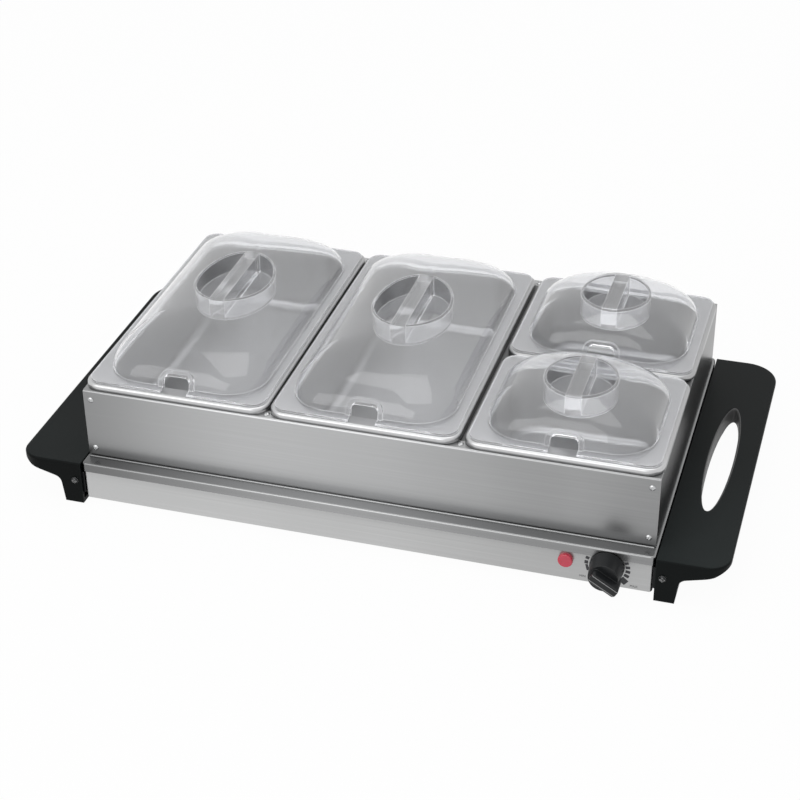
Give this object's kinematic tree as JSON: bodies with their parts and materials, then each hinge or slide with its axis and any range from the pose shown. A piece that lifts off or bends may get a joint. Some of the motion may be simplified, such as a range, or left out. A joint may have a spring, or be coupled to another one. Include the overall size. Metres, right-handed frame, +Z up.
{
  "type": "electric food warmer tray",
  "caption": "Countertop buffet server: a heated tray on two end handles carries a lift-off frame with steel food pans under clear domed lids; a front knob sets the heat.",
  "frame": {"origin": "on the table, under the middle of the whole object's bounding box", "axes": "+X to the right along the longest side, -Y to the front where the knob is, +Z up"},
  "size_m": [0.658, 0.381, 0.1593],
  "materials": {
    "brushed_sheet": "brushed",
    "pan_steel": "satin",
    "zinc_steel": "satin",
    "screw_steel": "polished",
    "black_screw": "blackened",
    "element_steel": "oxidised",
    "black_plastic": "satin",
    "pale_plastic": "matt",
    "insulation": "matt",
    "rubber": "matt",
    "red_lens": "gloss",
    "clear_plastic": "clear gloss",
    "live_cover": "satin",
    "neutral_cover": "satin",
    "earth_cover": "satin"
  },
  "bodies": {
    "tray": {"tray_top": "brushed_sheet", "base_pan": "brushed_sheet", "handle_right": "black_plastic", "handle_left": "black_plastic", "rubber_feet": "rubber", "end_bracket_right": "zinc_steel", "end_bracket_left": "zinc_steel", "bracket_screws": "screw_steel", "handle_screws": "black_screw", "tray_posts": "zinc_steel", "bottom_screws": "screw_steel", "shield_spacers": "zinc_steel", "heat_shield": "zinc_steel", "insulation_pad": "insulation", "heating_element": "element_steel", "element_clamps": "zinc_steel", "thermostat_body": "pale_plastic", "thermostat_nut": "zinc_steel", "pilot_light_lens": "red_lens", "pilot_light_holder": "black_plastic", "cable_gland": "black_plastic", "gland_nut": "zinc_steel", "terminal_block": "pale_plastic", "thermal_fuse": "element_steel", "fuse_clip": "zinc_steel", "earth_screw": "screw_steel", "live_wire": "live_cover", "neutral_wires": "neutral_cover", "element_wire": "live_cover", "lamp_wires": "live_cover", "earth_wire": "earth_cover"},
    "frame": {"front_panel": "brushed_sheet", "back_panel": "brushed_sheet", "right_panel": "brushed_sheet", "left_panel": "brushed_sheet", "corner_brackets": "zinc_steel", "frame_screws": "screw_steel", "divider_left": "brushed_sheet", "divider_right": "brushed_sheet", "divider_cross": "brushed_sheet", "divider_screws": "screw_steel"},
    "knob": {"knob": "black_plastic", "thermostat_shaft": "screw_steel"},
    "pan_left": {"pan_left": "pan_steel"},
    "lid_left": {"lid_left": "clear_plastic"},
    "pan_middle": {"pan_middle": "pan_steel"},
    "lid_middle": {"lid_middle": "clear_plastic"},
    "pan_rear": {"pan_rear": "pan_steel"},
    "lid_rear": {"lid_rear": "clear_plastic"},
    "pan_front": {"pan_front": "pan_steel"},
    "lid_front": {"lid_front": "clear_plastic"}
  },
  "joints": [
    {"name": "frame_lift", "type": "slide", "parent": "tray", "child": "frame", "axis": [0, 0, 1], "range_m": [0, 0.1]},
    {"name": "pan_left_lift", "type": "slide", "parent": "frame", "child": "pan_left", "axis": [0, 0, 1], "range_m": [0, 0.09]},
    {"name": "pan_middle_lift", "type": "slide", "parent": "frame", "child": "pan_middle", "axis": [0, 0, 1], "range_m": [0, 0.09]},
    {"name": "pan_rear_lift", "type": "slide", "parent": "frame", "child": "pan_rear", "axis": [0, 0, 1], "range_m": [0, 0.09]},
    {"name": "pan_front_lift", "type": "slide", "parent": "frame", "child": "pan_front", "axis": [0, 0, 1], "range_m": [0, 0.09]},
    {"name": "lid_left_lift", "type": "slide", "parent": "pan_left", "child": "lid_left", "axis": [0, 0, 1], "range_m": [0, 0.06]},
    {"name": "lid_middle_lift", "type": "slide", "parent": "pan_middle", "child": "lid_middle", "axis": [0, 0, 1], "range_m": [0, 0.06]},
    {"name": "lid_rear_lift", "type": "slide", "parent": "pan_rear", "child": "lid_rear", "axis": [0, 0, 1], "range_m": [0, 0.06]},
    {"name": "lid_front_lift", "type": "slide", "parent": "pan_front", "child": "lid_front", "axis": [0, 0, 1], "range_m": [0, 0.06]},
    {"name": "knob_turn", "type": "hinge", "parent": "tray", "child": "knob", "pos_m": [0.225, -0.1623, 0.0275], "axis": [0, -1, 0], "range_deg": [-7.5, 248.5]}
  ]
}
